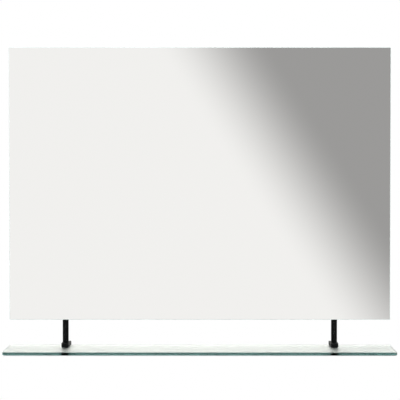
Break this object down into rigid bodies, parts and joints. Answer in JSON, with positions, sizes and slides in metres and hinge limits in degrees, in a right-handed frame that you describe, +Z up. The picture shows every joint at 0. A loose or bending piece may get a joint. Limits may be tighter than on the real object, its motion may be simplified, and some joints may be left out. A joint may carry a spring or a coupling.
{
  "type": "mirror with shelf",
  "caption": "Frameless rectangular wall mirror on a recessed frame that hangs on wall hooks, with a clear glass shelf held below it by black posts and screw-tightened glass clamps.",
  "frame": {"origin": "on the wall plane, level with the mirror's centre and midway between its sides", "axes": "+X to the viewer's right along the mirror's width, +Y into the wall, +Z up"},
  "size_m": [0.712, 0.128, 0.5626],
  "materials": {
    "mirror": "silvered float glass with polished edges",
    "clear_glass": "clear float glass with green polished edges",
    "safety_film": "matt grey-green backing film",
    "foam_tape": "closed-cell foam",
    "aluminium": "mill-finish extrusion",
    "zinc_steel": "bright zinc plate",
    "black_coat": "satin black powder coat",
    "black_oxide": "oiled black oxide",
    "rubber": "matt black rubber"
  },
  "bodies": {
    "wall_hooks": {"wall_hook_left": "zinc_steel", "wall_hook_right": "zinc_steel"},
    "mirror_unit": {"mirror_glass": "mirror", "mirror_safety_film": "safety_film", "bond_tape_top": "foam_tape", "bond_tape_bottom": "foam_tape", "bond_tape_left": "foam_tape", "bond_tape_right": "foam_tape", "rail_top": "aluminium", "rail_bottom": "aluminium", "rail_left": "aluminium", "rail_right": "aluminium", "corner_bracket_top_left": "aluminium", "corner_bracket_top_right": "aluminium", "corner_bracket_bottom_left": "aluminium", "corner_bracket_bottom_right": "aluminium", "hanging_plate_left": "zinc_steel", "hanging_plate_right": "zinc_steel", "hanging_plate_screw_left_1": "zinc_steel", "hanging_plate_screw_left_2": "zinc_steel", "hanging_plate_screw_right_1": "zinc_steel", "hanging_plate_screw_right_2": "zinc_steel", "post_socket_left": "black_coat", "post_socket_right": "black_coat", "socket_screw_left_1": "zinc_steel", "socket_screw_left_2": "zinc_steel", "socket_screw_right_1": "zinc_steel", "socket_screw_right_2": "zinc_steel", "socket_grub_screw_left": "black_oxide", "socket_grub_screw_right": "black_oxide", "post_left": "black_coat", "post_right": "black_coat", "post_screw_left": "zinc_steel", "post_screw_right": "zinc_steel", "glass_clamp_left": "black_coat", "glass_clamp_right": "black_coat", "jaw_liner_left": "rubber", "jaw_liner_right": "rubber", "glass_seat_left": "rubber", "glass_seat_right": "rubber", "wall_bumper_left": "rubber", "wall_bumper_right": "rubber"},
    "shelf": {"glass_shelf": "clear_glass"},
    "pad_left": {"pressure_pad_left": "rubber"},
    "pad_right": {"pressure_pad_right": "rubber"},
    "screw_left": {"clamp_screw_left": "black_oxide"},
    "screw_right": {"clamp_screw_right": "black_oxide"}
  },
  "joints": [
    {"name": "mirror_lift", "type": "slide", "parent": "wall_hooks", "child": "mirror_unit", "axis": [0, 0, 1], "range_m": [0, 0.012]},
    {"name": "shelf_slide", "type": "slide", "parent": "mirror_unit", "child": "shelf", "axis": [0, -1, 0], "range_m": [0, 0.055]},
    {"name": "pad_rise_left", "type": "slide", "parent": "mirror_unit", "child": "pad_left", "axis": [0, 0, 1], "range_m": [0, 0.0012]},
    {"name": "pad_rise_right", "type": "slide", "parent": "mirror_unit", "child": "pad_right", "axis": [0, 0, 1], "range_m": [0, 0.0012]},
    {"name": "clamp_screw_turn_left", "type": "hinge", "parent": "pad_left", "child": "screw_left", "pos_m": [-0.248, -0.019, -0.2972], "axis": [0, 0, 1], "range_deg": [0, 540]},
    {"name": "clamp_screw_turn_right", "type": "hinge", "parent": "pad_right", "child": "screw_right", "pos_m": [0.248, -0.019, -0.2972], "axis": [0, 0, 1], "range_deg": [0, 540]}
  ],
  "couplings": [
    {"joint": "clamp_screw_turn_left", "follows": "pad_rise_left", "rad_per_m": 7853.9},
    {"joint": "clamp_screw_turn_right", "follows": "pad_rise_right", "rad_per_m": 7853.9}
  ]
}
